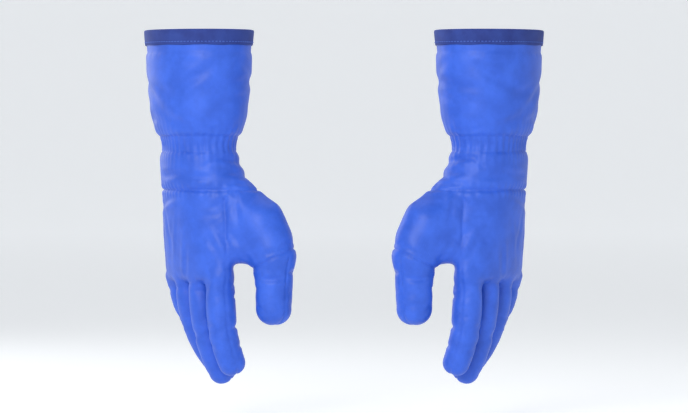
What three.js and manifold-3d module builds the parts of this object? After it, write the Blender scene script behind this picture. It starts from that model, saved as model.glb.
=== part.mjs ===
// A pair of insulated cryogenic gloves in the shape they take when worn: cuffs up, fingers hanging.
//
// Units are millimetres and +Z is up. The origin is the centre of the right glove's cuff mouth.
// Each glove is built in a frame of its own: x points to the thumb side, y to the palm side and
// z up the arm, with the wrist crease at z = 0. The left glove is the right one mirrored.
//
// The fabric of a glove runs on across each flex line. Here it is parted there, with two sloped
// faces, so that the parts on either side can fold without touching.
import * as THREE from "three";
import { mergeVertices } from "three/addons/utils/BufferGeometryUtils.js";
import Module from "manifold-3d";

const wasm = await Module();
wasm.setup();

const DEG = Math.PI / 180;

// The pair
const PAIR_SPACING = 260; // between the two cuffs' centres
const PALM_TURN = 60 * DEG; // from palm facing backwards towards palm facing the other glove

// Layers, each as [depth of its outer face, depth of its inner face] under the glove's surface.
// In the hand and the fingers, insulation and lining are one bonded liner.
const CUFF_LAYERS = { shell: [0, 0.8], insulation: [1.1, 4.2], lining: [4.5, 5.4] };
const HAND_LAYERS = { shell: [0, 0.8], liner: [1.1, 5.4] };
const FINGER_LAYERS = { shell: [0, 0.8], liner: [1.1, 3.7] };
const LAYER_GAP = 0.3;
const HINGE_GAP = 0.4;

// Cross-sections are ellipses: z, half width along x, half depth along y
const CUFF_LENGTH = 125;
const CUFF_SECTIONS = [
  { z: CUFF_LENGTH, width: 55, depth: 46 },
  { z: 75, width: 49, depth: 39.5 },
  { z: 25, width: 41.5, depth: 31.5 },
  { z: -1, width: 41, depth: 31 },
];
const PALM_SECTIONS = [
  { z: 1, width: 41, depth: 31 },
  { z: -30, width: 43, depth: 27 },
  { z: -60, width: 48, depth: 23.5 },
  { z: -85, width: 50, depth: 19 },
  { z: -98, width: 49.8, depth: 14.6 },
];
const WRIST_FOLD = 20; // degrees, either way

// Hem binding, wrist elastic and label
const BINDING = { height: 14, fabric: 1.1, innerDepth: 5.7 };
const ELASTIC = { top: 30, bottom: 16, depths: [3.0, 4.2] };
const LABEL = { width: 26, height: 36, thickness: 0.8, top: CUFF_LENGTH - 19, lean: 8 * DEG };

// Fingers. x and y place the axis, base is how far the base flex line lies below the wrist,
// joint and tip are measured on from there, and radii are at the base, the joint and the tip.
// bend is the resting curl at the base and at the joint, in degrees.
const FINGER_ROOT_Z = -80;
const FINGERS = {
  index: { x: 37.7, y: 1, base: 114, joint: 28, tip: 70, radii: [12.5, 12.2, 11.2], bend: [4, 12] },
  middle: { x: 12.2, y: -2, base: 116, joint: 31, tip: 78, radii: [12.6, 12.3, 11.3], bend: [9, 11] },
  ring: { x: -13.3, y: -1.5, base: 114, joint: 28, tip: 72, radii: [12.4, 12.1, 11], bend: [14, 14] },
  little: { x: -37.5, y: 2, base: 107, joint: 22, tip: 56, radii: [11.3, 11, 10], bend: [20, 15] },
};
// How far each flex line may fold in all, from straight: palmwards and backwards, in degrees
const FINGER_BASE_FOLD = { palmward: 60, backward: 8 };
const FINGER_JOINT_FOLD = { palmward: 75, backward: 0 };

// Thumb. Its pad faces across the palm, turned from the palm's own direction.
const THUMB = { x: 66, y: 40, root: -60, base: 85.5, joint: 21.5, tip: 51.5, radii: [16.5, 16, 15] };
const THUMB_TURN = 104 * DEG;
const THUMB_BASE_FOLD = { palmward: 30, backward: 20 };
const THUMB_JOINT_FOLD = { palmward: 45, backward: 5 };
const THENAR = { from: [24, 10, -16], to: [THUMB.x, THUMB.y, THUMB.root], radii: [19, 17] };
const WEBS = [
  { from: [34, 8, -46], to: [65, 39, -62], radii: [15, 15] },
  { from: [38, 6, -70], to: [64, 38, -72], radii: [13, 14] },
];
const FOLD_MARGIN = 0.5; // degrees added to each sloped face

// Mesh fineness
const FINGER_SIDES = 12;
const LOFT_SIDES = 20;
const DOME_STEPS = 3;

const MATERIALS = {
  shell: new THREE.MeshStandardMaterial({ color: 0x486cd8, roughness: 0.55, metalness: 0 }),
  liner: new THREE.MeshStandardMaterial({ color: 0xe8e6de, roughness: 0.95, metalness: 0 }),
  binding: new THREE.MeshStandardMaterial({ color: 0x24357f, roughness: 0.8, metalness: 0 }),
  elastic: new THREE.MeshStandardMaterial({ color: 0xf2f2f0, roughness: 0.9, metalness: 0 }),
  label: new THREE.MeshStandardMaterial({ color: 0xf6f6f4, roughness: 0.6, metalness: 0 }),
};

// ---- solids ----

function solidOf(geometry) {
  geometry.deleteAttribute("normal");
  geometry.deleteAttribute("uv");
  const merged = mergeVertices(geometry, 1e-4);
  return new wasm.Manifold(
    new wasm.Mesh({
      numProp: 3,
      vertProperties: merged.attributes.position.array,
      triVerts: new Uint32Array(merged.index.array),
    }),
  );
}

function geometryOf(solid) {
  const mesh = solid.getMesh();
  const geometry = new THREE.BufferGeometry();
  geometry.setAttribute("position", new THREE.BufferAttribute(mesh.vertProperties, 3));
  geometry.setIndex(new THREE.BufferAttribute(mesh.triVerts, 1));
  geometry.computeVertexNormals();
  return geometry;
}

const union = (solids) => solids.reduce((all, next) => all.add(next));

// A closed loft through elliptical sections, listed from the top down and shrunk by `depth`.
// `capDepth` lifts the bottom cap, for a loft that is closed there.
function loft(sections, depth, capDepth = 0) {
  const last = sections.length - 1;
  const geometry = new THREE.CylinderGeometry(1, 1, 1, LOFT_SIDES, last);
  const position = geometry.attributes.position;
  for (let i = 0; i < position.count; i++) {
    const row = Math.round((0.5 - position.getY(i)) * last);
    const { z, width, depth: halfDepth } = sections[row];
    position.setXYZ(
      i,
      position.getX(i) * (width - depth),
      -position.getZ(i) * (halfDepth - depth),
      row === last ? z + capDepth : z,
    );
  }
  return solidOf(geometry);
}

// A cone with a round end at each of its two points
function roundCone(from, to, radii, depth) {
  const start = new THREE.Vector3(...from);
  const axis = new THREE.Vector3(...to).sub(start);
  const length = axis.length();
  const profile = [];
  [-1, 0].forEach((quarter, end) => {
    const radius = radii[end] - depth;
    for (let i = 0; i <= DOME_STEPS; i++) {
      const angle = ((quarter + i / DOME_STEPS) * Math.PI) / 2;
      const onAxis = quarter + i / DOME_STEPS === -1 || quarter + i / DOME_STEPS === 1;
      const across = onAxis ? 0 : radius * Math.cos(angle);
      profile.push(new THREE.Vector2(across, end * length + radius * Math.sin(angle)));
    }
  });
  const geometry = new THREE.LatheGeometry(profile, FINGER_SIDES);
  const up = new THREE.Vector3(0, 1, 0);
  geometry.applyQuaternion(new THREE.Quaternion().setFromUnitVectors(up, axis.normalize()));
  return solidOf(geometry.translate(...start));
}

// Cuts a solid off at a hinge line along x through `centre`. It removes what lies above the line
// (end = 1) or below it (end = -1), and slopes the cut back on the palm side and the back side
// by half of the fold that the line allows there.
function cutAtHinge(solid, centre, end, fold, { halfWidth, reach, turn = 0 }) {
  const slopes = [
    [1, fold.palmward],
    [-1, fold.backward],
  ];
  for (const [side, degrees] of slopes) {
    const slope = (degrees / 2 + FOLD_MARGIN) * DEG;
    const block = new THREE.BoxGeometry(2 * halfWidth, 2 * reach, reach)
      .translate(0, 0, (end * (reach - HINGE_GAP)) / 2)
      .rotateX(-end * side * slope)
      .rotateZ(turn)
      .translate(...centre);
    solid = solid.subtract(solidOf(block));
  }
  return solid;
}

// ---- the hand: palm, finger roots, thumb root and the web between thumb and palm ----

const FINGER_CUT = { halfWidth: 12.7, reach: 30 };
const THUMB_CUT = { halfWidth: 19, reach: 24 };
const WRIST_CUT = { halfWidth: 80, reach: 60 };
const WRIST_FOLDS = { palmward: WRIST_FOLD, backward: WRIST_FOLD };

function handForm(depth, fingerDepth) {
  const fingerRoots = Object.values(FINGERS).map(({ x, y, base, radii }) =>
    roundCone([x, y, FINGER_ROOT_Z], [x, y, -base], [radii[0], radii[0]], fingerDepth),
  );
  return union([
    loft(PALM_SECTIONS, depth, depth),
    roundCone(THENAR.from, THENAR.to, THENAR.radii, depth),
    ...WEBS.map(({ from, to, radii }) => roundCone(from, to, radii, depth)),
    roundCone(THENAR.to, [THUMB.x, THUMB.y, -THUMB.base], [17, THUMB.radii[0]], fingerDepth),
    ...fingerRoots,
  ]);
}

function handLayer(name) {
  const [outer, inner] = HAND_LAYERS[name];
  const [fingerOuter, fingerInner] = FINGER_LAYERS[name];
  let layer = handForm(outer, fingerOuter).subtract(handForm(inner, fingerInner));
  layer = cutAtHinge(layer, [0, 0, 0], 1, WRIST_FOLDS, WRIST_CUT);
  for (const { x, y, base } of Object.values(FINGERS)) {
    layer = cutAtHinge(layer, [x, y, -base], -1, FINGER_BASE_FOLD, FINGER_CUT);
  }
  return cutAtHinge(layer, [THUMB.x, THUMB.y, -THUMB.base], -1, THUMB_BASE_FOLD, {
    ...THUMB_CUT,
    turn: THUMB_TURN,
  });
}

// The half of a hand layer on the palm side (1) or the back of the hand (-1)
function panel(layer, side) {
  const size = 300;
  const otherHalf = new THREE.BoxGeometry(size, size, size);
  otherHalf.translate(0, side * (LAYER_GAP / 2 - size / 2), 0);
  return layer.subtract(solidOf(otherHalf));
}

// ---- fingers and thumb, each a base part and a tip part hanging from a hinge at its origin ----

function digitPart(length, radii, [outer, inner]) {
  const end = [0, 0, -length];
  return roundCone([0, 0, 0], end, radii, outer).subtract(roundCone([0, 0, 0], end, radii, inner));
}

function baseSolid(digit, depths, baseFold, jointFold, cut) {
  let solid = digitPart(digit.joint, digit.radii.slice(0, 2), depths);
  solid = cutAtHinge(solid, [0, 0, 0], 1, baseFold, cut);
  return cutAtHinge(solid, [0, 0, -digit.joint], -1, jointFold, cut);
}

function tipSolid(digit, depths, jointFold, cut) {
  const [, jointRadius, tipRadius] = digit.radii;
  const length = digit.tip - digit.joint - tipRadius;
  return cutAtHinge(digitPart(length, [jointRadius, tipRadius], depths), [0, 0, 0], 1, jointFold, cut);
}

// ---- the cuff ----

// One layer of the cuff between two heights, over the given depths
function cuffRing(top, bottom, [outer, inner]) {
  const margin = 1; // lets the bore run out past both ends
  const bore = [{ ...sectionAt(top), z: top + margin }, ...between(top, bottom)];
  bore.push({ ...sectionAt(bottom), z: bottom - margin });
  const wall = [sectionAt(top), ...between(top, bottom), sectionAt(bottom)];
  return loft(wall, outer).subtract(loft(bore, inner));
}

const between = (top, bottom) => CUFF_SECTIONS.filter(({ z }) => z < top && z > bottom);

function sectionAt(z) {
  const below = Math.max(1, CUFF_SECTIONS.findIndex((section) => section.z <= z));
  const [high, low] = [CUFF_SECTIONS[below - 1], CUFF_SECTIONS[below]];
  const share = (high.z - z) / (high.z - low.z);
  return {
    z,
    width: THREE.MathUtils.lerp(high.width, low.width, share),
    depth: THREE.MathUtils.lerp(high.depth, low.depth, share),
  };
}

const layersTop = CUFF_LENGTH - BINDING.fabric - LAYER_GAP;

function cuffLayer(depths) {
  return cutAtHinge(cuffRing(layersTop, -1, depths), [0, 0, 0], -1, WRIST_FOLDS, WRIST_CUT);
}

// The binding is folded over the hem: an outer leg, a top and an inner leg
function hemBinding() {
  const bottom = CUFF_LENGTH - BINDING.height;
  const outerFace = -LAYER_GAP - BINDING.fabric;
  const innerFace = BINDING.innerDepth + BINDING.fabric;
  const whole = cuffRing(CUFF_LENGTH, bottom, [outerFace, innerFace]);
  return whole.subtract(cuffRing(layersTop + LAYER_GAP, bottom - 1, [-LAYER_GAP, BINDING.innerDepth]));
}

function cuffInsulation() {
  const { top, bottom, depths } = ELASTIC;
  const room = cuffRing(top + LAYER_GAP, bottom - LAYER_GAP, [depths[0] - LAYER_GAP, depths[1] + 1]);
  return cuffLayer(CUFF_LAYERS.insulation).subtract(room);
}

// A blank cloth label, hanging flat inside the palm side of the cuff
function sizeLabel() {
  const { width, height, thickness, top, lean } = LABEL;
  const across = width / 2 + thickness;
  const wall = sectionAt(top);
  const inner = CUFF_LAYERS.lining[1];
  const [a, b] = [wall.width - inner, wall.depth - inner];
  const chord = b * Math.sqrt(1 - (across / a) ** 2);
  const y = chord - thickness / 2 - 2 * LAYER_GAP;
  const label = new THREE.BoxGeometry(width, thickness, height);
  label.translate(0, 0, -height / 2).rotateX(-lean);
  return solidOf(label.translate(0, y, top));
}

// ---- one glove ----

function addMesh(group, name, solid, material) {
  const mesh = new THREE.Mesh(geometryOf(solid), MATERIALS[material]);
  mesh.name = name;
  group.add(mesh);
}

// A base group with the tip group hinged on its far end, holding a shell and a liner each
function makeDigit(name, digit, baseFold, jointFold, cut) {
  const base = new THREE.Group();
  const tip = new THREE.Group();
  tip.position.z = -digit.joint;
  base.add(tip);
  for (const [layer, depths] of Object.entries(FINGER_LAYERS)) {
    addMesh(base, `${name}_base_${layer}`, baseSolid(digit, depths, baseFold, jointFold, cut), layer);
    addMesh(tip, `${name}_tip_${layer}`, tipSolid(digit, depths, jointFold, cut), layer);
  }
  return { base, tip };
}

function makeGlove(side) {
  const glove = new THREE.Group();
  glove.rotation.z = -PALM_TURN;
  glove.position.z = -CUFF_LENGTH;

  addMesh(glove, `${side}_cuff_shell`, cuffLayer(CUFF_LAYERS.shell), "shell");
  addMesh(glove, `${side}_cuff_insulation`, cuffInsulation(), "liner");
  addMesh(glove, `${side}_cuff_lining`, cuffLayer(CUFF_LAYERS.lining), "liner");
  addMesh(glove, `${side}_hem_binding`, hemBinding(), "binding");
  addMesh(glove, `${side}_wrist_elastic`, cuffRing(ELASTIC.top, ELASTIC.bottom, ELASTIC.depths), "elastic");
  addMesh(glove, `${side}_size_label`, sizeLabel(), "label");

  for (const layer of ["shell", "liner"]) {
    const whole = handLayer(layer);
    addMesh(glove, `${side}_hand_back_${layer}`, panel(whole, -1), layer);
    addMesh(glove, `${side}_hand_palm_${layer}`, panel(whole, 1), layer);
  }

  for (const [name, finger] of Object.entries(FINGERS)) {
    const { base, tip } = makeDigit(
      `${side}_${name}`,
      finger,
      FINGER_BASE_FOLD,
      FINGER_JOINT_FOLD,
      FINGER_CUT,
    );
    base.position.set(finger.x, finger.y, -finger.base);
    base.rotation.x = finger.bend[0] * DEG;
    tip.rotation.x = finger.bend[1] * DEG;
    glove.add(base);
  }

  const thumb = makeDigit(`${side}_thumb`, THUMB, THUMB_BASE_FOLD, THUMB_JOINT_FOLD, THUMB_CUT);
  thumb.base.position.set(THUMB.x, THUMB.y, -THUMB.base);
  thumb.base.rotation.z = THUMB_TURN;
  glove.add(thumb.base);
  return glove;
}

const pair = new THREE.Group();
pair.add(makeGlove("right"));
const leftSide = new THREE.Group();
leftSide.add(makeGlove("left"));
leftSide.scale.x = -1;
leftSide.position.x = PAIR_SPACING;
pair.add(leftSide);

export default pair;
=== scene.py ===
"""The looks of a pair of insulated cryogenic gloves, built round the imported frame.

Each glove is made in a frame of its own, in millimetres: x to the thumb side, y to the palm side
and z up the arm, with the wrist crease at z = 0. w is how far a point lies below the wrist.
The layers are surfaces of one distance field. In it the fingers are straight and a little apart.
They are then brought together and curled as the hand relaxes. The left glove is the right one
mirrored.
"""

import math

import bmesh
import bpy
import numpy as np
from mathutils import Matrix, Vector


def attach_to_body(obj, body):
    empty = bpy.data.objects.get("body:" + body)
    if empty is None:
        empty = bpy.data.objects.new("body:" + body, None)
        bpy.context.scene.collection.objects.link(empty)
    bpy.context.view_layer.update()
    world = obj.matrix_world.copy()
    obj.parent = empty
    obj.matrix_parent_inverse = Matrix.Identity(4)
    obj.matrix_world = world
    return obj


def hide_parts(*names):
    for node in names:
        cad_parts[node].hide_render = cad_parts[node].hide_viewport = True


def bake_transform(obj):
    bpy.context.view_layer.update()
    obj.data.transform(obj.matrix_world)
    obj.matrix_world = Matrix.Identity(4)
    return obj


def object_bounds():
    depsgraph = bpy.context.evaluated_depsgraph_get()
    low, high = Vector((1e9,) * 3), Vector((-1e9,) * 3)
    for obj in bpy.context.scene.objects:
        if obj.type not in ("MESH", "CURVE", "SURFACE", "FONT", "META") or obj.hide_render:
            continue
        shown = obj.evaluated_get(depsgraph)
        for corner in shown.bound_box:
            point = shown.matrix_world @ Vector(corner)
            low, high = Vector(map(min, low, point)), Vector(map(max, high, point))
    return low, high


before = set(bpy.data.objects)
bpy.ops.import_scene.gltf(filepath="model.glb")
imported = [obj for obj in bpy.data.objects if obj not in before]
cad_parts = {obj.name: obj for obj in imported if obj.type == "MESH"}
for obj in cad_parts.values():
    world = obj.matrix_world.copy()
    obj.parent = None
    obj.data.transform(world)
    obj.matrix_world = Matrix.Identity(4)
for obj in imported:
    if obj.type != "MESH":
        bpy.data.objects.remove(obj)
cad_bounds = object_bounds()

# ---- sizes, in millimetres, as in the CAD part ----

PALM_TURN = math.radians(60)
CUFF_LENGTH = 125.0
PAIR_SPACING = 260.0
# how far below the wrist, half width, half depth
SECTIONS = np.array(
    [
        (-125, 55, 46),
        (-50, 49, 39.5),
        (-25, 41.8, 31.8),
        (0, 40.6, 30.6),
        (30, 43, 27),
        (60, 48, 23.5),
        (85, 50, 19.5),
        (104, 49.5, 15.5),
    ],
    float,
)
PALM_END = 101.5
WAIST = {"centre": -23.0, "width": 9.0, "depth": 2.2}
# x, y, web line, base hinge, middle hinge, tip, radii, resting curl of the three knuckles
FINGERS = {
    "index": (37.7, 1.0, 104, 114, 142, 184, (12.5, 12.2, 11.2), (4, 12, 7)),
    "middle": (12.2, -2.0, 106, 116, 147, 194, (12.6, 12.3, 11.3), (9, 11, 8)),
    "ring": (-13.3, -1.5, 104, 114, 142, 186, (12.4, 12.1, 11.0), (14, 14, 8)),
    "little": (-37.5, 2.0, 97, 107, 129, 163, (11.3, 11.0, 10.0), (20, 15, 8)),
}
SPREAD = 1.18  # how far apart the fingers stand before they are brought together
SPREAD_FROM, SPREAD_OVER = 88, 16
TIP_SEAM = 12  # a finger's tip panel starts this far above its middle hinge
ROOT_TAPER = 0.44
THUMB = {"x": 66.0, "y": 40.0, "root": 76, "base": 85.5, "joint": 107, "tip": 137}
THUMB_RADII = (16.5, 16.0, 15.0)
THUMB_TURN = math.radians(104)
# The thumb is parted from the hand on a slanted plane, where its seam is: slant . p = offset
SLANT = np.array([0.258, 0.344, -0.9])
SLANT_LENGTH = float(np.linalg.norm(SLANT))
THUMB_SEAM = 101.4
THUMB_MIDDLE_CUT = 119.4
# the body above each part of the thumb, the seam between them, and how far the bend reaches
THUMB_BLENDS = {
    "thumb_base": ("hand", THUMB_SEAM, 18.0),
    "thumb_tip": ("thumb_base", THUMB_MIDDLE_CUT, 16.0),
}
FINGER_ZONE, LITTLE_ZONE = 16, 14
MIDDLE_ZONE = 10
THUMB_SIDE = 47.0  # 0.6 x + 0.8 y is more than this on the thumb
WRIST_SEAM = 18.0
WRIST_ZONE = 16.0
HEM_CUT = 1.8  # the layers stop this far under the top of the binding
SHELL_THICKNESS = 0.8
DEEPEST = 1.1  # a fold or seam goes no deeper than this, so that no padding shows through
# mid depth under the glove's surface and half thickness of the two inner layers
INSULATION = (2.85, 1.25)
LINING = (5.0, 0.42)
GRID = {"shell": 1.5, "inner": 2.6}
GLOVE_LOW, GLOVE_HIGH = (-62.0, -54.0, -200.0), (88.0, 64.0, CUFF_LENGTH + 4)
SEED = 11


# ---- small helpers ----


def smoothstep(x):
    x = np.clip(x, 0.0, 1.0)
    return x * x * (3 - 2 * x)


def smooth_min(a, b, k):
    h = np.maximum(k - np.abs(a - b), 0) / k
    return np.minimum(a, b) - h * h * k * 0.25


def smooth_max(a, b, k):
    return -smooth_min(-a, -b, k)


def bell(x, width):
    return np.exp(-((x / width) ** 2))


def unit(v):
    v = np.asarray(v, float)
    return v / np.linalg.norm(v)


# ---- the distance field ----

FINE_W = np.arange(-140.0, 130.0, 1.0)


def smoothed_sections():
    """Half width and half depth at each of FINE_W, with the corners of the table rounded off."""
    reach = 24
    kernel = bell(np.arange(-reach, reach + 1), 7.0)
    kernel /= kernel.sum()
    longer = np.arange(FINE_W[0] - reach, FINE_W[-1] + reach + 1)
    above = longer < SECTIONS[0, 0]
    out = []
    for column in (1, 2):
        raw = np.interp(longer, SECTIONS[:, 0], SECTIONS[:, column])
        slope = (SECTIONS[1, column] - SECTIONS[0, column]) / (SECTIONS[1, 0] - SECTIONS[0, 0])
        raw[above] += slope * (longer[above] - SECTIONS[0, 0])
        out.append(np.convolve(raw, kernel, "valid"))
    return out


SMOOTH_WIDTH, SMOOTH_DEPTH = smoothed_sections()


def section(w):
    """Half width and half depth of the palm and cuff at w."""
    waist = WAIST["depth"] * bell(w - WAIST["centre"], WAIST["width"])
    width = np.interp(w, FINE_W, SMOOTH_WIDTH) - waist
    return width, np.interp(w, FINE_W, SMOOTH_DEPTH) - waist


def spread_at(w):
    return 1 + (SPREAD - 1) * smoothstep((w - SPREAD_FROM) / SPREAD_OVER)


def round_cone(x, y, w, a, b, radii):
    a, b = np.array(a, float), np.array(b, float)
    ab = b - a
    t = ((x - a[0]) * ab[0] + (y - a[1]) * ab[1] + (w - a[2]) * ab[2]) / (ab @ ab)
    t = np.clip(t, 0, 1)
    gap = (x - a[0] - t * ab[0]) ** 2 + (y - a[1] - t * ab[1]) ** 2 + (w - a[2] - t * ab[2]) ** 2
    return np.sqrt(gap) - radii[0] - t * (radii[1] - radii[0])


def digit_field(x, y, w, root, hinges, tip, radii):
    """A tube that hangs straight down, with a blunt round end and slight waists at its hinges.

    Above its root it narrows to nothing inside the hand.
    """
    waist_depth, waist_width, bluntness = 0.35, 5.0, 2.25
    end = tip - radii[2]
    r = np.interp(w, [hinges[0], hinges[1], end], radii)
    r = r - ROOT_TAPER * np.maximum(root - w, 0)
    for hinge in hinges:
        r = r - waist_depth * bell(w - hinge, waist_width)
    across = np.hypot(x, y)
    below = np.maximum(w - end, 0)
    blunt = (across**bluntness + below**bluntness) ** (1 / bluntness)
    return np.where(below > 0, blunt, across) - r


def glove_field(x, y, z):
    """Signed distance to the glove's outer surface, in millimetres, with the fingers apart.

    Cones fill the heel of the thumb and the web beside it. Each join is rounded, and the last
    number of a smooth_min is how widely.
    """
    w = -z
    width, depth = section(w)
    px = x / spread_at(w)
    k0 = np.sqrt((px / width) ** 2 + (y / depth) ** 2)
    k1 = np.sqrt((px / width**2) ** 2 + (y / depth**2) ** 2)
    palm = k0 * (k0 - 1) / np.maximum(k1, 1e-6)
    palm = smooth_max(palm, w - PALM_END, 9)
    knuckle, root = (56, 33, 47), (THUMB["x"], THUMB["y"], THUMB["root"])
    thenar = smooth_min(
        round_cone(x, y, w, (24, 10, 14), knuckle, (20, 18)),
        round_cone(x, y, w, knuckle, root, (18, THUMB_RADII[0])),
        8,
    )
    body = smooth_min(palm, thenar, 14)
    web = smooth_min(
        round_cone(x, y, w, (34, 8, 46), (65, 39, 62), (15, 15)),
        round_cone(x, y, w, (38, 6, 69), (64, 38, 71), (13, 14)),
        6,
    )
    body = smooth_min(body, web, 9)
    hinges = (THUMB["base"], THUMB["joint"])
    tube = digit_field(
        x - THUMB["x"], y - THUMB["y"], w, THUMB["root"], hinges, THUMB["tip"], THUMB_RADII
    )
    body = smooth_min(body, tube, 10)
    whole = body
    for fx, fy, web_line, base, joint, tip, radii, _bend in FINGERS.values():
        finger = digit_field(x - fx * SPREAD, y - fy, w, web_line, (base, joint), tip, radii)
        whole = np.minimum(whole, smooth_min(body, finger, 7))
    return whole


def surface_nets(field, low, step):
    """Vertices and quads of the zero level of a grid of values."""
    shape = np.array(field.shape)
    total = np.zeros((*(shape - 1), 3))
    count = np.zeros(shape - 1)
    crossings = []
    for axis in range(3):
        head = [slice(None)] * 3
        tail = [slice(None)] * 3
        head[axis], tail[axis] = slice(None, -1), slice(1, None)
        a, b = field[tuple(head)], field[tuple(tail)]
        i, j, k = np.nonzero((a < 0) != (b < 0))
        fa, fb = a[i, j, k], b[i, j, k]
        at = np.stack([i, j, k], 1).astype(float)
        at[:, axis] += fa / (fa - fb)
        others = [n for n in range(3) if n != axis]
        cells = []
        for du, dv in ((0, 0), (-1, 0), (-1, -1), (0, -1)):
            cell = np.stack([i, j, k], 1)
            cell[:, others[0]] += du
            cell[:, others[1]] += dv
            cells.append(cell)
            ok = np.all((cell >= 0) & (cell < shape - 1), 1)
            index = tuple(cell[ok].T)
            np.add.at(total, index, at[ok])
            np.add.at(count, index, 1)
        crossings.append((axis, cells, fa < 0))
    active = count > 0
    number = np.full(count.shape, -1)
    number[active] = np.arange(active.sum())
    points = total[active] / count[active][:, None]
    quads = []
    for axis, cells, inside_first in crossings:
        ok = np.all([np.all((c >= 0) & (c < shape - 1), 1) for c in cells], 0)
        quad = np.stack([number[tuple(c[ok].T)] for c in cells], 1)
        flip = inside_first[ok] if axis != 1 else ~inside_first[ok]
        quad[~flip] = quad[~flip][:, ::-1]
        quads.append(quad)
    return low + points * step, np.vstack(quads)


def layer_surface(depth, step):
    """A smooth quad mesh of the surface that lies `depth` under the glove's outer one."""
    low = np.array(GLOVE_LOW) - step * 1.3
    high = np.array(GLOVE_HIGH)
    x, y, z = (np.arange(a, b, step) for a, b in zip(low, high))
    grid = np.meshgrid(x, y, z, indexing="ij")
    field = glove_field(*grid) + depth
    points, quads = surface_nets(field, low, step)
    edges = np.vstack([quads[:, [a, (a + 1) % 4]] for a in range(4)])
    for _ in range(5):
        points = onto_surface(averaged(points, edges), depth)
    return points, quads


def gradient(p):
    """The field's slope at each point, over a short step h."""
    h = 0.3
    out = np.zeros_like(p)
    for axis in range(3):
        step = np.zeros(3)
        step[axis] = h
        out[:, axis] = glove_field(*(p + step).T) - glove_field(*(p - step).T)
    return out / (2 * h)


def onto_surface(p, depth):
    """Each point moved up or down the slope to the surface, by no more than its length."""
    g = gradient(p)
    d = glove_field(*p.T) + depth
    move = d / np.maximum((g**2).sum(1), 0.25)
    return p - g * np.clip(move, -1.0, 1.0)[:, None]


# ---- cutting the surface into panels ----


def finger_of(p):
    """Which finger each point would belong to, by its place across the hand."""
    centres = np.array([f[0] * SPREAD for f in FINGERS.values()])
    return np.abs(p[:, :1] - centres).argmin(1)


def is_thumb_side(p):
    return (0.6 * p[..., 0] + 0.8 * p[..., 1] > THUMB_SIDE) & (p[..., 2] < -50)


def regions_of(p):
    """The panel that each point belongs to."""
    w = -p[:, 2]
    names = np.array(["hand"] * len(p), dtype="<U16")
    names[w < WRIST_SEAM] = "cuff"
    across = is_thumb_side(p)
    slanted = p @ SLANT
    names[across & (slanted > THUMB_SEAM)] = "thumb_base"
    names[across & (slanted > THUMB_MIDDLE_CUT)] = "thumb_tip"
    nearest = finger_of(p)
    for number, (name, (_x, _y, web, _b, joint, *_)) in enumerate(FINGERS.items()):
        mine = (nearest == number) & ~across
        names[mine & (w > web + 1)] = f"{name}_base"
        names[mine & (w > joint - TIP_SEAM)] = f"{name}_tip"
    return names


def cut_mesh(points, quads):
    """Adds an edge loop along every plane that parts two panels, and opens the cuff's mouth."""
    mesh = bpy.data.meshes.new("cut")
    mesh.from_pydata(points.tolist(), [], quads.tolist())
    bm = bmesh.new()
    bm.from_mesh(mesh)
    bpy.data.meshes.remove(mesh)

    def cut(centre, normal, wanted=None, snap=0.45, clear_outer=False):
        if wanted is None:
            faces = list(bm.faces)
        else:
            middle = np.array([f.calc_center_median() for f in bm.faces])
            faces = [f for f, keep in zip(bm.faces, wanted(middle)) if keep]
        edges = {e for f in faces for e in f.edges}
        verts = {v for f in faces for v in f.verts}
        bmesh.ops.bisect_plane(
            bm,
            geom=[*verts, *edges, *faces],
            dist=snap,
            plane_co=centre,
            plane_no=normal,
            use_snap_center=True,
            clear_outer=clear_outer,
        )

    cut((0, 0, CUFF_LENGTH - HEM_CUT), (0, 0, 1), clear_outer=True, snap=0.2)
    cut((0, 0, -WRIST_SEAM), (0, 0, 1))
    cut((0, 0, 0), (0, 1, 0), lambda m: (-m[:, 2] > WRIST_SEAM) & ~is_thumb_side(m))
    for number, (_x, _y, web, _b, joint, *_) in enumerate(FINGERS.values()):
        for at in (web + 1, joint - TIP_SEAM):
            cut(
                (0, 0, -at),
                (0, 0, 1),
                lambda m, n=number: (finger_of(m) == n) & ~is_thumb_side(m) & (m[:, 2] < -90),
            )
    for offset in (THUMB_SEAM, THUMB_MIDDLE_CUT):
        on_plane = SLANT * offset / SLANT_LENGTH**2
        cut(tuple(on_plane), tuple(SLANT), is_thumb_side)
    side = (math.cos(THUMB_TURN), math.sin(THUMB_TURN), 0)
    cut(
        (THUMB["x"], THUMB["y"], 0),
        side,
        lambda m: is_thumb_side(m) & (m @ SLANT > THUMB_SEAM),
    )
    bm.verts.ensure_lookup_table()
    co = np.array([v.co for v in bm.verts])
    faces = [[v.index for v in f.verts] for f in bm.faces]
    bm.free()
    return co, faces


# ---- normals and shapes ----


def vertex_normals(co, faces):
    """Normals at the vertices, from those of the faces round them, weighted by area."""
    sizes = np.array([len(f) for f in faces])
    corners = np.fromiter((v for f in faces for v in f), int, sizes.sum())
    starts = np.concatenate([[0], np.cumsum(sizes)[:-1]])
    following = np.arange(len(corners)) + 1
    following[starts + sizes - 1] = starts
    face_normals = np.add.reduceat(np.cross(co[corners], co[corners[following]]), starts) * 0.5
    normals = np.repeat(face_normals, sizes, axis=0)
    out = np.zeros_like(co)
    for column in range(3):
        out[:, column] = np.bincount(corners, normals[:, column], len(co))
    return out / np.maximum(np.linalg.norm(out, axis=1), 1e-9)[:, None]


def edges_of(faces):
    return [(a, b) for f in faces for a, b in zip(f, f[1:] + f[:1])]


def averaged(values, edges, rounds=1):
    """Values at vertices, each drawn towards its neighbours' mean a number of times."""
    edges = np.asarray(edges)
    ends, others = edges.ravel(), edges[:, ::-1].ravel()
    count = np.maximum(np.bincount(ends, minlength=len(values)), 1)
    for _ in range(rounds):
        total = np.zeros_like(values)
        for column in range(3):
            total[:, column] = np.bincount(ends, values[others, column], len(values))
        values = values * 0.4 + 0.6 * total / count[:, None]
    return values


FOLD_REACH = 9.0  # a fold fades over this distance from its own surface


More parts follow.
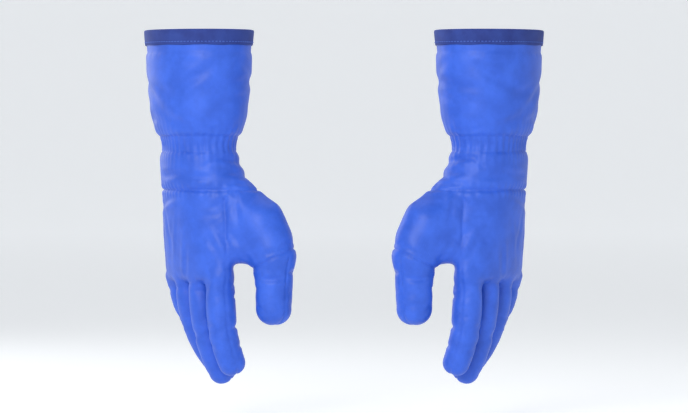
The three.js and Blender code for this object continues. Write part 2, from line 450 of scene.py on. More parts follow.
def fold(p, normals, centre, along, length, width, depth):
    """A soft crease with a low ridge on each side, along a line on the surface."""
    centre, along = np.asarray(centre, float), unit(along)
    away = p - centre
    nearest = np.argmin((away**2).sum(1))
    facing = normals[nearest]
    over = unit(np.cross(facing, along))
    s, c, n = away @ along, away @ over, away @ facing
    profile = (1 - (c / width) ** 2) * np.exp(-((c / width) ** 2) * 0.5)
    reach = bell(s, length) * bell(n, FOLD_REACH)
    return -depth * profile * reach * (normals @ facing > 0)


def folds_round_arm(p, normals, rng, count, ws, slant, lengths, width, depths):
    """Random creases round the cuff and wrist. ws, lengths and depths are ranges."""
    out = np.zeros(len(p))
    for _ in range(count):
        w = rng.uniform(*ws)
        turn = rng.uniform(0, 2 * math.pi)
        a, b = section(np.array(w))
        centre = (a * math.cos(turn), b * math.sin(turn), -w)
        along = (-a * math.sin(turn), b * math.cos(turn), rng.normal(0, slant))
        out += fold(p, normals, centre, along, rng.uniform(*lengths), width, rng.uniform(*depths))
    return out


def random_folds(p, normals):
    """Creases where the fabric is slack: at the wrist, the knuckles, the web and the thumb."""
    rng = np.random.default_rng(SEED)
    out = np.zeros(len(p))
    for fx, fy, web, base, joint, tip, radii, _bend in FINGERS.values():
        # a crease across the palm side at each knuckle
        for w, depth in ((base - 1, 0.75), (joint, 0.85), ((joint + tip) / 2 - 2, 0.5)):
            centre = (fx * SPREAD, fy + radii[0], -w)
            out += fold(p, normals, centre, (1, 0, 0.08 * rng.normal()), 9, 2.2, depth)
        # slack anywhere round the finger
        for _ in range(5):
            w = rng.uniform(web + 8, tip - 14)
            turn = rng.uniform(-2.6, 2.6)
            x, y = fx * SPREAD + radii[1] * math.sin(turn), fy - radii[1] * math.cos(turn)
            along = (math.cos(turn), math.sin(turn), rng.normal(0, 0.55))
            out += fold(p, normals, (x, y, -w), along, rng.uniform(4, 8), 2.3, rng.uniform(0.2, 0.42))
        # three fine lines over the back of the middle knuckle
        for offset in (-2.6, 0.4, 3.2):
            centre = (fx * SPREAD, fy - radii[1], -(joint - 2 + offset))
            out += fold(p, normals, centre, (1, 0, 0.1 * rng.normal()), 6, 1.5, 0.3)
    out += folds_round_arm(p, normals, rng, 26, (-10, 34), 9, (8, 20), 3.2, (0.4, 0.9))
    # the web and the heel of the thumb, then both faces of the hand, then the thumb
    for _ in range(16):
        centre = (rng.uniform(28, 62), rng.uniform(-6, 44), -rng.uniform(30, 82))
        along = (0.35 + 0.2 * rng.normal(), 0.3 + 0.2 * rng.normal(), -0.8)
        out += fold(p, normals, centre, along, rng.uniform(9, 20), 3.0, rng.uniform(0.3, 0.8))
    for _ in range(12):
        side = rng.choice((-1, 1))
        centre = (rng.uniform(-40, 36), side * 22, -rng.uniform(30, 92))
        along = (rng.normal(0, 0.5), 0, -1)
        out += fold(p, normals, centre, along, rng.uniform(10, 24), 3.4, rng.uniform(0.2, 0.45))
    for _ in range(7):
        w = rng.uniform(70, 126)
        turn = rng.uniform(0, 2 * math.pi)
        centre = (THUMB["x"] + 16 * math.cos(turn), THUMB["y"] + 16 * math.sin(turn), -w)
        along = (-math.sin(turn), math.cos(turn), rng.normal(0, 0.4))
        out += fold(p, normals, centre, along, rng.uniform(5, 10), 2.6, rng.uniform(0.25, 0.6))
    # the creases on the pad side of the thumb's two knuckles
    pad = unit((-0.97, -0.24, 0)) * 16
    for w, depth in ((THUMB["base"] + 1, 0.7), (THUMB["joint"], 0.8)):
        centre = (THUMB["x"] + pad[0], THUMB["y"] + pad[1], -w)
        across = (-math.sin(THUMB_TURN), math.cos(THUMB_TURN), 0)
        out += fold(p, normals, centre, across, 10, 2.4, depth)
    out += folds_round_arm(p, normals, rng, 22, (-108, -42), 26, (10, 26), 4.6, (0.3, 0.9))
    return out


WRIST_SEAM_NUMBER = 1  # its place in what seam_distance gives
SEAM_FADE, FADE_RATE = 8, 0.35


def seam_distance(p):
    """Distance of each point from the seams of the sides, wrist, thumb's root and thumb's sides.

    The side seams count as further off, and so grow fainter, where they run into another one.
    """
    w = -p[:, 2]
    thumb = is_thumb_side(p)
    far = np.full(len(p), 99.0)
    from_wrist = w - WRIST_SEAM
    faint = FADE_RATE * np.clip(SEAM_FADE - from_wrist, 0, SEAM_FADE)
    side = np.where((from_wrist > 0) & ~thumb, np.abs(p[:, 1]) + faint, far)
    from_root = (p @ SLANT - THUMB_SEAM) / SLANT_LENGTH
    slanted = np.where(thumb, np.abs(from_root), far)
    turned = (p[:, 0] - THUMB["x"]) * math.cos(THUMB_TURN)
    turned += (p[:, 1] - THUMB["y"]) * math.sin(THUMB_TURN)
    faint = FADE_RATE * np.clip(SEAM_FADE - from_root, 0, SEAM_FADE)
    along_thumb = np.where(thumb & (from_root > 0), np.abs(turned) + faint, far)
    return side, np.abs(from_wrist), slanted, along_thumb


# scale of the folds, and in mm a seam's groove and its slope, puckers beside it, pleats at the
# wrist's seam, gathers and stitched rows of the elastic, and how far the padding lifts it all
FABRIC_RELIEF = (1.35, 0.6, 0.45, 0.16, 0.35, 1.15, 0.55, 0.35)
ELASTIC_ROWS = (-30.0, -16.0)
HEM_PLAIN = 108  # above this the cuff is plain, so that it fits in the binding


def relief(p, normals):
    """How far the shell stands out from its plain shape: seams, gathers, folds and padding."""
    fold_scale, groove, shoulder, pucker, pleat, gather, row_depth, loft = FABRIC_RELIEF
    w = -p[:, 2]
    angle = np.arctan2(p[:, 1], p[:, 0])
    seams = seam_distance(p)
    nearest = np.min(seams, axis=0)
    out = fold_scale * random_folds(p, normals)
    out -= groove * bell(nearest, 0.9) + shoulder * np.exp(-nearest / 3.2)
    ripple = np.sin(2 * math.pi * (w + 3 * np.sin(angle * 3)) / 7.3)
    for number, distance in enumerate(seams):
        if number != WRIST_SEAM_NUMBER:
            out += pucker * ripple * bell(distance - 2.4, 2.2)
    pleats = np.sin(angle * 34 + 0.8 * np.sin(angle * 5))
    out += pleat * pleats * bell(seams[WRIST_SEAM_NUMBER] - 3, 3.2)
    gathers = 0.5 + 0.5 * np.sin(angle * 37 + 1.2 * np.sin(angle * 4) + 0.6 * np.sin(w * 0.21))
    out += gather * gathers * np.exp(-np.abs(w - WAIST["centre"]) / 11.0)
    for row in ELASTIC_ROWS:
        out -= row_depth * bell(w - row, 1.0)
    out += loft
    out = np.where(out < 0, -DEEPEST * np.tanh(-out / DEEPEST), out)
    return out * smoothstep((w + HEM_PLAIN) / 14)


# ---- cloth: the shell, blown out by its padding and held at its seams ----


SIMULATION_UNIT = 100.0  # millimetres
SIMULATION_STEPS = 14
CLOTH_CAP = 1.6  # the padding moves the shell by no more than this,
CLOTH_INWARD = 0.3  # and inwards by no more than this
HELD_HEM, HELD_ELASTIC = 104, 8


def simulate_shell(co, faces, held):
    """The shell's points after its padding has pushed it out between its seams."""
    mesh = bpy.data.meshes.new("cloth")
    mesh.from_pydata((co / SIMULATION_UNIT).tolist(), [], faces)
    obj = bpy.data.objects.new("cloth", mesh)
    bpy.context.scene.collection.objects.link(obj)
    group = obj.vertex_groups.new(name="held")
    group.add(np.nonzero(held)[0].tolist(), 1.0, "REPLACE")
    cloth = obj.modifiers.new("cloth", "CLOTH")
    s = cloth.settings
    s.quality = 4
    s.mass = 0.3
    s.tension_stiffness = s.compression_stiffness = 12
    s.shear_stiffness = 4
    s.bending_stiffness = 0.6
    s.tension_damping = s.compression_damping = s.shear_damping = 12
    s.air_damping = 4
    s.use_pressure = True
    s.uniform_pressure_force = 3.0
    s.shrink_min = -0.035
    s.vertex_group_mass = "held"
    s.pin_stiffness = 1.0
    s.effector_weights.gravity = 0
    cloth.collision_settings.use_collision = False
    cloth.point_cache.frame_end = SIMULATION_STEPS
    scene = bpy.context.scene
    for number in range(1, SIMULATION_STEPS + 1):
        scene.frame_set(number)
    evaluated = obj.evaluated_get(bpy.context.evaluated_depsgraph_get())
    moved = np.zeros(len(co) * 3, np.float32)
    evaluated.data.vertices.foreach_get("co", moved)
    scene.frame_set(1)
    bpy.data.objects.remove(obj)
    bpy.data.meshes.remove(mesh)
    return moved.reshape(-1, 3).astype(float) * SIMULATION_UNIT


# ---- from the straight glove to the relaxed one, and into the shared frame ----


BEND_LENGTHS = (16, 20, 16)  # of a finger's three knuckles
GATHERED_FROM, BENT_FROM = 60, 90  # heights where they start


def curl(y, w, axis_y, steps):
    """Bends points of a finger palmwards. steps are (centre, length, degrees) of each bend."""
    step = 0.25
    fine = np.arange(80.0, 215.0, step)
    angle = sum(math.radians(d) * smoothstep((fine - c) / n + 0.5) for c, n, d in steps)
    line_y = np.concatenate([[0], np.cumsum(np.sin(angle[:-1]) * step)])
    line_w = fine[0] + np.concatenate([[0], np.cumsum(np.cos(angle[:-1]) * step)])
    at = np.interp(w, fine, angle)
    offset = y - axis_y
    new_y = axis_y + np.interp(w, fine, line_y) + offset * np.cos(at)
    return new_y, np.interp(w, fine, line_w) - offset * np.sin(at)


def relax(p):
    """Brings the spread, straight fingers together and curls them."""
    out = p.copy()
    w = -p[:, 2]
    thumb = is_thumb_side(p)
    nearest = finger_of(p)
    gathered = 1 / spread_at(w)
    for number, (fx, fy, web, base, joint, tip, _radii, bend) in enumerate(FINGERS.values()):
        mine = ~thumb & (nearest == number) & (w > GATHERED_FROM)
        centre = fx * SPREAD
        keep = gathered + (1 - gathered) * smoothstep((w - web) / 12)
        x = centre * gathered + (p[:, 0] - centre) * keep
        steps = tuple(zip((base, joint, (joint + tip) / 2), BEND_LENGTHS, bend))
        y, new_w = curl(p[:, 1], w, fy, steps)
        out[mine, 0] = x[mine]
        bent = mine & (w > BENT_FROM)
        out[bent, 1] = y[bent]
        out[bent, 2] = -new_w[bent]
    return out


def turned_to_row(v):
    """Glove-frame directions, turned as the right glove hangs in the pair."""
    c, s = math.cos(PALM_TURN), math.sin(PALM_TURN)
    return np.stack([c * v[..., 0] + s * v[..., 1], -s * v[..., 0] + c * v[..., 1], v[..., 2]], -1)


def to_row(p, side="right"):
    """Glove-frame millimetres to the frame that both gloves share, in metres."""
    out = turned_to_row(np.asarray(p, float))
    out[..., 2] -= CUFF_LENGTH
    if side == "left":
        out[..., 0] = PAIR_SPACING - out[..., 0]
    return out / 1000


# ---- making pieces ----


def weave_coordinates(co, region):
    """Round the panel and along it, in metres, for each vertex, and the length once round."""
    if region in ("cuff", "hand"):
        width, depth = section(-co[:, 2])
        angle = np.arctan2(co[:, 0] / width, -co[:, 1] / depth)
        radius = 44.0
    else:
        digit = region.split("_")[0]
        x, y, radius = THUMB["x"], THUMB["y"], THUMB_RADII[0]
        if digit in FINGERS:
            x, y, radius = FINGERS[digit][0] * SPREAD, FINGERS[digit][1], FINGERS[digit][6][0]
        angle = np.arctan2(co[:, 0] - x, y - co[:, 1])
    return np.stack([angle * radius, co[:, 2]], 1) / 1000, 2 * math.pi * radius / 1000


def corner_weave(points, faces, round_length):
    """The weave coordinates of each face corner, unbroken where a face crosses the start."""
    out = []
    for f in faces:
        corners = points[f]
        if np.ptp(corners[:, 0]) > round_length / 2:
            corners[corners[:, 0] < 0, 0] += round_length
        out.append(corners)
    return np.concatenate(out)


def make_object(name, co, faces, materials, face_material=None, face_normals=None, weave=None):
    mesh = bpy.data.meshes.new(name)
    mesh.from_pydata(co.tolist(), [], faces)
    for material in materials:
        mesh.materials.append(material)
    if face_material is not None:
        mesh.polygons.foreach_set("material_index", face_material)
    mesh.polygons.foreach_set("use_smooth", [True] * len(faces))
    obj = bpy.data.objects.new(name, mesh)
    bpy.context.scene.collection.objects.link(obj)
    if weave is not None:
        mesh.uv_layers.new(name="weave").data.foreach_set("uv", weave.ravel())
    if face_normals is not None:
        mesh.normals_split_custom_set(face_normals.tolist())
    mesh.update()
    return obj


def thin_wall(co, normals, faces, outward, inward):
    """A closed wall round a panel: (points, faces, corner normals)."""
    used = np.unique(np.concatenate([np.array(f) for f in faces]))
    index = np.full(len(co), -1)
    index[used] = np.arange(len(used))
    n = len(used)
    base, direction = co[used], normals[used]
    outer = base + direction * outward[used][:, None]
    inner = base - direction * inward[used][:, None]
    outer_faces = [[int(index[v]) for v in f] for f in faces]
    inner_faces = [[v + n for v in reversed(f)] for f in outer_faces]
    edges = edges_of(outer_faces)
    known = set(edges)
    rim = [[b, a, a + n, b + n] for a, b in edges if (b, a) not in known]
    points = np.vstack([outer, inner])
    all_faces = outer_faces + inner_faces + rim
    corner = [direction[v] for f in outer_faces for v in f]
    corner += [-direction[v - n] for f in inner_faces for v in f]
    for f in rim:
        a, b, c = (points[v] for v in f[:3])
        across = np.cross(b - a, c - b)
        across = across / max(np.linalg.norm(across), 1e-9)
        corner += [across] * 4
    return points, all_faces, np.array(corner)


def both_gloves(name, co, faces, normals, materials, face_material=None, weave=None):
    """The piece for the right glove, and its mirror image for the left one. co is in mm."""
    turned = None if normals is None else turned_to_row(normals)
    right = make_object(
        f"right_{name}", to_row(co), faces, materials, face_material, turned, weave
    )
    order, start = [], 0
    for size in map(len, faces):
        order += range(start + size - 1, start - 1, -1)
        start += size
    flipped = None if turned is None else turned[order] * np.array([-1, 1, 1])
    woven = None if weave is None else weave[order]
    mirrored = [f[::-1] for f in faces]
    left = make_object(
        f"left_{name}", to_row(co, "left"), mirrored, materials, face_material, flipped, woven
    )
    return {"right": right, "left": left}


def blend_zone(region):
    """The bodies that a panel joins, and the two points in mm between which it turns."""
    if region == "cuff":
        return "cuff", "hand", (0, 0, WRIST_ZONE), (0, 0, -WRIST_ZONE)
    if region in THUMB_BLENDS:
        above, offset, length = THUMB_BLENDS[region]
        flat = SLANT[0] * THUMB["x"] + SLANT[1] * THUMB["y"]
        start = np.array([THUMB["x"], THUMB["y"], (offset - flat) / SLANT[2]])
        return above, region, tuple(start), tuple(start + unit(SLANT) * length)
    name = region.split("_")[0]
    fx, fy, web, base, joint, _tip, _radii, bend = FINGERS[name]
    if region.endswith("_base"):
        end = web + 1 + (LITTLE_ZONE if name == "little" else FINGER_ZONE)
        return "hand", region, (fx, fy, -(web + 1)), (fx, fy, -end)
    first = math.radians(bend[0])
    second = math.radians(bend[0] + bend[1])
    hinge = np.array([0, fy + (joint - base) * math.sin(first), 0.0])
    hinge[0], hinge[2] = fx, -(base + (joint - base) * math.cos(first))
    start = hinge - MIDDLE_ZONE * np.array([0, math.sin(first), -math.cos(first)])
    end = hinge + MIDDLE_ZONE * np.array([0, math.sin(second), -math.cos(second)])
    return f"{name}_base", region, tuple(start), tuple(end)


def attach(made, region, cad_nodes):
    """Ties a pair of pieces to the hand's body, or to the cuff's for those called cuff_only; the rest
    only have their placing baked into their points. Then hides the CAD nodes that they stand for.
    """
    for side, obj in made.items():
        if region.startswith("hand"):
            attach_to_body(obj, f"{side}_hand")
        elif region == "cuff_only":
            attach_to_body(obj, f"{side}_cuff")
        else:
            a, b, start, end = blend_zone(region)
            tuple(to_row(start, side))
            tuple(to_row(end, side))
            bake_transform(obj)
        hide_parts(*[f"{side}_{node}" for node in cad_nodes])


# ---- materials ----


def new_material(name):
    material = bpy.data.materials.new(name)
    material.use_nodes = True
    tree = material.node_tree
    shader = tree.nodes["Principled BSDF"]
    return material, tree, shader


def add_node(tree, kind, **inputs):
    node = tree.nodes.new(kind)
    for key, value in inputs.items():
        node.inputs[key.replace("_", " ")].default_value = value
    return node


def fabric(name, dark, light, roughness, sheen, thread, bump, bands="XZ", woven=False):
    """Cloth with crossed yarns, one set for each letter of bands, and a slow change of shade.

    Woven cloth takes its yarns from the piece's own weave coordinates.
    """
    material, tree, shader = new_material(name)
    link = tree.links.new
    place = tree.nodes.new("ShaderNodeTexCoord")
    waves = []
    for direction in bands:
        wave = add_node(tree, "ShaderNodeTexWave", Scale=thread, Distortion=0.15)
        wave.inputs["Detail"].default_value = 1.0
        wave.bands_direction = direction
        link(place.outputs["UV" if woven else "Object"], wave.inputs["Vector"])
        waves.append(wave.outputs["Fac"])
    weave = waves[0]
    if len(waves) == 2:
        product = tree.nodes.new("ShaderNodeMath")
        product.operation = "MULTIPLY"
        link(waves[0], product.inputs[0])
        link(waves[1], product.inputs[1])
        weave = product.outputs[0]
    fine = add_node(tree, "ShaderNodeTexNoise", Scale=1500.0, Detail=3.0)
    link(place.outputs["Object"], fine.inputs["Vector"])
    slow = add_node(tree, "ShaderNodeTexNoise", Scale=55.0, Detail=4.0, Roughness=0.6)
    link(place.outputs["Object"], slow.inputs["Vector"])
    mixed = tree.nodes.new("ShaderNodeMix")
    mixed.data_type = "RGBA"
    mixed.inputs["A"].default_value = (*dark, 1)
    mixed.inputs["B"].default_value = (*light, 1)
    ramp = tree.nodes.new("ShaderNodeMapRange")
    ramp.inputs["From Min"].default_value = 0.35
    ramp.inputs["From Max"].default_value = 0.65
    link(slow.outputs["Fac"], ramp.inputs["Value"])
    link(ramp.outputs["Result"], mixed.inputs["Factor"])
    shade = tree.nodes.new("ShaderNodeMix")
    shade.data_type = "RGBA"
    shade.blend_type = "MULTIPLY"
    shade.inputs["Factor"].default_value = 0.15
    link(mixed.outputs["Result"], shade.inputs["A"])
    link(weave, shade.inputs["B"])
    link(shade.outputs["Result"], shader.inputs["Base Color"])
    height = tree.nodes.new("ShaderNodeMath")
    height.operation = "MULTIPLY_ADD"
    height.inputs[1].default_value = 0.35
    link(fine.outputs["Fac"], height.inputs[0])
    link(weave, height.inputs[2])
    raised = add_node(tree, "ShaderNodeBump", Strength=bump, Distance=0.0002)
    link(height.outputs[0], raised.inputs["Height"])
    link(raised.outputs["Normal"], shader.inputs["Normal"])
    rough = tree.nodes.new("ShaderNodeMapRange")
    rough.inputs["To Min"].default_value = roughness - 0.05
    rough.inputs["To Max"].default_value = roughness + 0.07
    link(slow.outputs["Fac"], rough.inputs["Value"])
    link(rough.outputs["Result"], shader.inputs["Roughness"])
    shader.inputs["Sheen Weight"].default_value = sheen
    shader.inputs["Sheen Roughness"].default_value = 0.45
    shader.inputs["Sheen Tint"].default_value = (*light, 1)
    shader.inputs["Specular IOR Level"].default_value = 0.36
    return material


SHELL = fabric(
    "coated_nylon",
    (0.026, 0.103, 0.595),
    (0.038, 0.134, 0.72),
    roughness=0.44,
    sheen=0.05,
    thread=570.0,
    bump=0.14,
    bands="XY",
    woven=True,
)
# name, dark and light shade, roughness, sheen, fineness of the yarn, bump, yarn directions
PADDING = fabric("needled_fibre", (0.66, 0.66, 0.64), (0.80, 0.80, 0.78), 0.95, 0.5, 260.0, 0.8)
FLEECE = fabric("brushed_knit", (0.46, 0.51, 0.58), (0.62, 0.66, 0.72), 0.92, 0.8, 300.0, 0.9)
TAPE = fabric("ribbed_tape", (0.016, 0.036, 0.22), (0.027, 0.06, 0.30), 0.7, 0.3, 500.0, 0.7, "Z")
ELASTIC = fabric("woven_elastic", (0.75, 0.75, 0.73), (0.85, 0.85, 0.83), 0.8, 0.3, 420.0, 0.8, "Z")
SATIN = fabric("label_satin", (0.78, 0.78, 0.76), (0.86, 0.86, 0.84), 0.45, 0.2, 700.0, 0.3, "Z")
THREAD = fabric("thread", (0.05, 0.12, 0.55), (0.09, 0.20, 0.70), 0.5, 0.4, 900.0, 0.5, "Z")

# ---- threads ----


def stitch_row(path, normals, pitch=3.2, length=2.1, radius=0.28, lift=0.12):
    """Small rounded stitches laid along a line of points (mm) on a surface."""
    steps = np.linalg.norm(np.diff(path, axis=0), axis=1)
    along = np.concatenate([[0], np.cumsum(steps)])
    count = max(1, int(along[-1] / pitch))
    points, faces = [], []
    ring = 6
    ends = ((-0.5, 0.35), (-0.36, 1.0), (0.36, 1.0), (0.5, 0.35))
    for number in range(count):
        at = (number + 0.5) * along[-1] / count
        centre = np.array([np.interp(at, along, path[:, c]) for c in range(3)])
        up = unit([np.interp(at, along, normals[:, c]) for c in range(3)])
        ahead = np.array([np.interp(min(at + 0.8, along[-1]), along, path[:, c]) for c in range(3)])
        behind = np.array([np.interp(max(at - 0.8, 0), along, path[:, c]) for c in range(3)])
        forward = unit(ahead - behind)
        up = unit(up - forward * (up @ forward))
        over = np.cross(forward, up)
        first = len(points)
        for share, scale in ends:
            dip = -0.5 * radius if scale < 1 else 0.0
            middle = centre + forward * share * length + up * (lift + dip)
            for k in range(ring):
                angle = 2 * math.pi * k / ring
                around = over * math.cos(angle) + up * math.sin(angle)
                points.append(middle + around * radius * scale)
        for row in range(len(ends) - 1):
            for k in range(ring):
                a = first + row * ring + k
                b = first + row * ring + (k + 1) % ring
                faces.append([a, a + ring, b + ring, b])
        faces.append([first + k for k in range(ring)])
        last = first + (len(ends) - 1) * ring
        faces.append([last + k for k in reversed(range(ring))])
    return np.array(points), faces


def cuff_ring(w, outward, count=240):
    """A closed line round the cuff at w, that far outside its surface, with its normals."""
    angle = np.linspace(0, 2 * math.pi, count + 1)
    a, b = section(np.array(float(w)))
    path = np.stack(
        [(a + outward) * np.cos(angle), (b + outward) * np.sin(angle), np.full(len(angle), -w)], 1
    )
    normals = np.stack([np.cos(angle) / a, np.sin(angle) / b, np.zeros(len(angle))], 1)
    return path, normals / np.linalg.norm(normals, axis=1)[:, None]


# ---- the layers ----


def shell_pieces():
    points, quads = layer_surface(0.0, GRID["shell"])
    co, faces = cut_mesh(points, quads)
    straight = co
    middle = np.array([co[f].mean(0) for f in faces])
    names = regions_of(middle)
    back = middle[:, 1] < 0
    normals = vertex_normals(co, faces)
    distances = np.min(seam_distance(co), axis=0)
    w = -co[:, 2]
    held = (distances < 0.3) | (w < -HELD_HEM) | (np.abs(w - WAIST["centre"]) < HELD_ELASTIC)
    moved = simulate_shell(co, faces, held) - co
    reach = np.linalg.norm(moved, axis=1)
    cap = CLOTH_CAP * np.tanh(reach / CLOTH_CAP) / np.maximum(reach, 1e-9)
    moved = averaged(moved * cap[:, None], edges_of(faces), 3)
    moved[held] = 0
    sunk = np.minimum((moved * normals).sum(1) + CLOTH_INWARD, 0)
    co = co + moved - normals * sunk[:, None]
    normals = vertex_normals(co, faces)
    co = co + normals * relief(co, normals)[:, None]
    rest = relax(co)
    normals = vertex_normals(rest, faces)
    wall = np.full(len(co), SHELL_THICKNESS)
    none = np.zeros(len(co))
    panels = [
        ("cuff_shell", "cuff", names == "cuff", ["cuff_shell"]),
        ("hand_back_shell", "hand", (names == "hand") & back, ["hand_back_shell"]),
        ("hand_palm_shell", "hand", (names == "hand") & ~back, ["hand_palm_shell"]),
    ]
    for digit in [*FINGERS, "thumb"]:
        for part in ("base", "tip"):
            region = f"{digit}_{part}"
            panels.append((f"{region}_shell", region, names == region, [f"{region}_shell"]))
    for name, region, wanted, nodes in panels:
        chosen = [faces[i] for i in np.nonzero(wanted)[0]]
        points, sides, corners = thin_wall(rest, normals, chosen, none, wall)
        threads, once_round = weave_coordinates(straight, region)
        used = np.unique(np.concatenate(chosen))
        woven = corner_weave(np.tile(threads[used], (2, 1)), sides, once_round)
        made = both_gloves(name + "_fabric", points, sides, corners, [SHELL], None, woven)
        attach(made, region, nodes)


ELASTIC_ROOM = 1.45
HAND_LINING = 1.3


def inner_pieces(layer, depth, half, slots):
    """Padding that is needled fibre on its outer face and brushed knit on its inner one."""
    points, quads = layer_surface(depth, GRID["inner"])
    co, faces = cut_mesh(points, quads)
    middle = np.array([co[f].mean(0) for f in faces])
    names = regions_of(middle)
    back = middle[:, 1] < 0
    names[(names == "hand") & back] = "hand_back"
    names[(names == "hand") & ~back] = "hand_palm"
    rest = relax(co)
    normals = vertex_normals(rest, faces)
    outward = inward = np.full(len(co), half)
    if layer == "insulation":
        # thinner where the elastic lies, and thicker in the hand, where it is also the lining
        w = -co[:, 2]
        at_elastic = np.exp(-((np.abs(w - WAIST["centre"]) / 9.5) ** 6))
        thins_from = np.where(is_thumb_side(co), 62, 84)
        in_hand = smoothstep((w - WRIST_SEAM + 2) / 4) * (1 - smoothstep((w - thins_from) / 18))
        inward = half - ELASTIC_ROOM * at_elastic + HAND_LINING * in_hand
    for region, nodes, slot_name in slots:
        chosen = [faces[i] for i in np.nonzero(names == region)[0]]
        parts = thin_wall(rest, normals, chosen, outward, inward)
        lined_from = len(parts[1]) if slot_name == "insulation" else len(chosen)
        kinds = [int(i >= lined_from) for i in range(len(parts[1]))]
        materials = [FLEECE, FLEECE] if slot_name == "lining" else [PADDING, FLEECE]
        made = both_gloves(f"{region}_{layer}_pad", *parts, materials, kinds)
        attach(made, region, nodes)


def closed_sweep(profile_rings):
    """Points and faces of a closed tube from rings of points, the last joined to the first."""
    rings = np.array(profile_rings)
    count, size = rings.shape[:2]
    faces = []
    for i in range(count):
        for k in range(size):
            a, b = i * size + k, i * size + (k + 1) % size
            c, d = ((i + 1) % count) * size + k, ((i + 1) % count) * size + (k + 1) % size
            faces.append([a, b, d, c])
    return rings.reshape(-1, 3), faces


def hem_binding():
    """Tape folded over the hem, with a row of stitches and a slight unevenness."""
    stitch_line, outside = 11.2, 1.4
    # depth under the glove's surface and height from the cuff's end, round the folded tape
    outline = [(-0.35, -13.6), (-0.3, -7), (-0.32, -2.2), (0.6, -1.45), (2.7, -1.3), (4.9, -1.45)]
    outline += [(5.68, -2.2), (5.7, -7), (5.75, -13.6), (6.3, -14), (6.75, -13.5), (6.78, -7)]
    outline += [(6.75, -1.6), (6.2, -0.45), (4.6, -0.05), (2.7, 0), (0.8, -0.05), (-0.8, -0.45)]
    outline += [(-1.35, -1.6), (-1.4, -4), (-1.4, -10), (-1.38, -13.4), (-0.95, -14)]
    rings = []
    steps = 160
    for i in range(steps):
        angle = 2 * math.pi * i / steps
        ring = []
        for depth, z in outline:
            a, b = section(np.array(-(CUFF_LENGTH + z)))
            wave = 0.12 * math.sin(angle * 13 + z * 0.2) if depth < -0.9 else 0.0
            droop = 0.25 * math.sin(angle * 9) if z < -13 and depth < 0 else 0.0
            x, y = (a - depth + wave) * math.cos(angle), (b - depth + wave) * math.sin(angle)
            ring.append((x, y, CUFF_LENGTH + z + droop))
        rings.append(ring)
    points, faces = closed_sweep(rings)
    path, normals = cuff_ring(-(CUFF_LENGTH - stitch_line), outside)
    thread, thread_faces = stitch_row(path, normals)
    first = len(points)
    all_faces = faces + [[v + first for v in f] for f in thread_faces]
    kinds = [0] * len(faces) + [1] * len(thread_faces)
    made = both_gloves(
        "hem_binding_tape", np.vstack([points, thread]), all_faces, None, [TAPE, THREAD], kinds
    )
    attach(made, "cuff_only", ["hem_binding"])


def wrist_elastic():
    """A ribbed band held between the insulation and the lining."""
    outer_depth, inner_depth, rib_height = 3.05, 4.15, 0.12
    across = np.linspace(-29.6, -16.4, 12)
    outline = [(outer_depth, rib_height, w) for w in across]
    outline += [(inner_depth, -rib_height, w) for w in reversed(across)]
    rings = []
    steps = 200
    for i in range(steps):
        angle = 2 * math.pi * i / steps
        ring = []
        for depth, height, w in outline:
            a, b = section(np.array(w))
            d = depth + height * math.cos(w * 2.6)
            ring.append(((a - d) * math.cos(angle), (b - d) * math.sin(angle), -w))
        rings.append(ring)
    points, faces = closed_sweep(rings)
    made = both_gloves("wrist_elastic_band", points, faces, None, [ELASTIC])
    attach(made, "cuff_only", ["wrist_elastic"])


def size_label():
    """A blank satin tab with rounded corners, sewn in by its upper edge."""
    width, height, thickness, top = 26.0, 36.0, 0.8, CUFF_LENGTH - 19
    lean = math.radians(8)
    # its corners clear the round lining
    corner_reach, clearance = 13.8, 1.2
    a, b = section(np.array(-top))
    y0 = (b - LINING[0] - LINING[1]) * math.sqrt(1 - (corner_reach / (a - 5.4)) ** 2) - clearance
    columns, rows = 14, 18
    points, faces = [], []
    for face in (0, 1):
        for j in range(rows + 1):
            for i in range(columns + 1):
                u, v = i / columns - 0.5, j / rows
                corner = max(0.0, abs(u) * 2 - 0.9) * max(0.0, v - 0.93) * 60
                sag = 0.5 * math.sin(math.pi * v) + 0.3 * math.cos(u * 5) * v
                down = v * (height - corner)
                y = y0 - down * math.tan(lean) - sag * 0.5 + (thickness if face else 0)
                points.append((u * width, y, top - down))
    layer = (columns + 1) * (rows + 1)
    for j in range(rows):
        for i in range(columns):
            a0 = j * (columns + 1) + i
            quad = [a0, a0 + columns + 1, a0 + columns + 2, a0 + 1]
            faces.append(quad)
            faces.append([v + layer for v in reversed(quad)])
    border = list(range(columns + 1))
    border += [(j + 1) * (columns + 1) + columns for j in range(rows)]
    border += [rows * (columns + 1) + columns - 1 - i for i in range(columns)]
    border += [(rows - 1 - j) * (columns + 1) for j in range(rows - 1)]
    for p, q in zip(border, border[1:] + border[:1]):
        faces.append([p, q, q + layer, p + layer])
    points = np.array(points)
    line = np.stack([np.linspace(-12, 12, 30), np.full(30, y0), np.full(30, top - 2.2)], 1)
    thread, thread_faces = stitch_row(line, np.tile([0.0, -1.0, 0.0], (30, 1)), radius=0.22)
    first = len(points)
    all_faces = faces + [[v + first for v in f] for f in thread_faces]
    kinds = [0] * len(faces) + [1] * len(thread_faces)
    made = both_gloves(
        "size_label_tab", np.vstack([points, thread]), all_faces, None, [SATIN, THREAD], kinds
    )
    attach(made, "cuff_only", ["size_label"])


shell_pieces()
padding = [
    ("cuff", ["cuff_insulation"], "insulation"),
    ("hand_back", ["hand_back_liner"], "liner"),
    ("hand_palm", ["hand_palm_liner"], "liner"),
]
for digit in [*FINGERS, "thumb"]:
    for part in ("base", "tip"):
        padding.append((f"{digit}_{part}", [f"{digit}_{part}_liner"], "liner"))
inner_pieces("insulation", *INSULATION, padding)
inner_pieces("lining", *LINING, [("cuff", ["cuff_lining"], "lining")])
hem_binding()
wrist_elastic()
size_label()

# ---- floor, light and camera ----


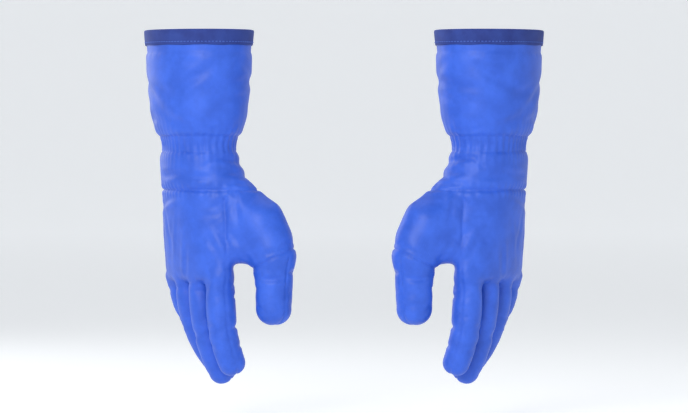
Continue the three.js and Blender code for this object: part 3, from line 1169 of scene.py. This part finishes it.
def backdrop(middle, flat=7.0, bend=4.0, wall=3.0, sides=96, steps=12, gap=0.035):
    """A pale floor that curves up all round, far enough out for a camera on any side."""
    floor = cad_bounds[0].z - gap
    profile = [(1.0, 0.0), (flat, 0.0)]
    for i in range(1, steps + 1):
        angle = math.pi / 2 * i / steps
        profile.append((flat + bend * math.sin(angle), bend * (1 - math.cos(angle))))
    profile.append((flat + bend, bend + wall))
    points = [(middle.x, middle.y, floor)]
    for radius, height in profile:
        for k in range(sides):
            turn = 2 * math.pi * k / sides
            points.append(
                (middle.x + radius * math.cos(turn), middle.y + radius * math.sin(turn), floor + height)
            )
    faces = [[0, 1 + k, 1 + (k + 1) % sides] for k in range(sides)]
    for row in range(len(profile) - 1):
        for k in range(sides):
            a, b = 1 + row * sides + k, 1 + row * sides + (k + 1) % sides
            faces.append([a, a + sides, b + sides, b])
    material, _tree, shader = new_material("pale_floor")
    shader.inputs["Base Color"].default_value = (0.66, 0.67, 0.68, 1)
    shader.inputs["Roughness"].default_value = 0.8
    shader.inputs["Emission Color"].default_value = (0.95, 0.975, 1.0, 1)
    shader.inputs["Emission Strength"].default_value = 0.47
    make_object("floor", np.array(points), faces, [material])


def area_light(name, place, target, size, power):
    data = bpy.data.lights.new(name, "AREA")
    data.shape = "RECTANGLE"
    data.size, data.size_y = size
    data.energy = power
    obj = bpy.data.objects.new(name, data)
    obj.location = place
    obj.rotation_euler = (Vector(target) - Vector(place)).to_track_quat("-Z", "Y").to_euler()
    obj.visible_camera = False
    bpy.context.scene.collection.objects.link(obj)


def camera(target, distance, lens, elevation):
    data = bpy.data.cameras.new("camera")
    data.lens = lens
    obj = bpy.data.objects.new("camera", data)
    lift = math.radians(elevation)
    obj.location = target + Vector((0, -math.cos(lift), math.sin(lift))) * distance
    obj.rotation_euler = (target - obj.location).to_track_quat("-Z", "Y").to_euler()
    bpy.context.scene.collection.objects.link(obj)
    bpy.context.scene.camera = obj


centre = (cad_bounds[0] + cad_bounds[1]) / 2
backdrop(centre)
area_light("key", (-0.4, -1.5, 0.5), centre, (0.7, 0.7), power=15.5)
area_light("fill", (1.2, -1.2, 0.1), centre, (1.2, 1.2), power=1.5)
area_light("top", (0.1, 0.2, 0.75), centre, (1.1, 0.8), power=3.4)
area_light("back_left", (-0.9, 0.9, 0.3), centre, (0.8, 1.0), power=5)
world = bpy.data.worlds.new("studio")
world.use_nodes = True
world.node_tree.nodes["Background"].inputs["Color"].default_value = (0.93, 0.95, 1.0, 1)
world.node_tree.nodes["Background"].inputs["Strength"].default_value = 0.24
bpy.context.scene.world = world
bpy.context.scene.view_settings.view_transform = "Standard"
camera(centre, distance=3.6, lens=210, elevation=1.0)
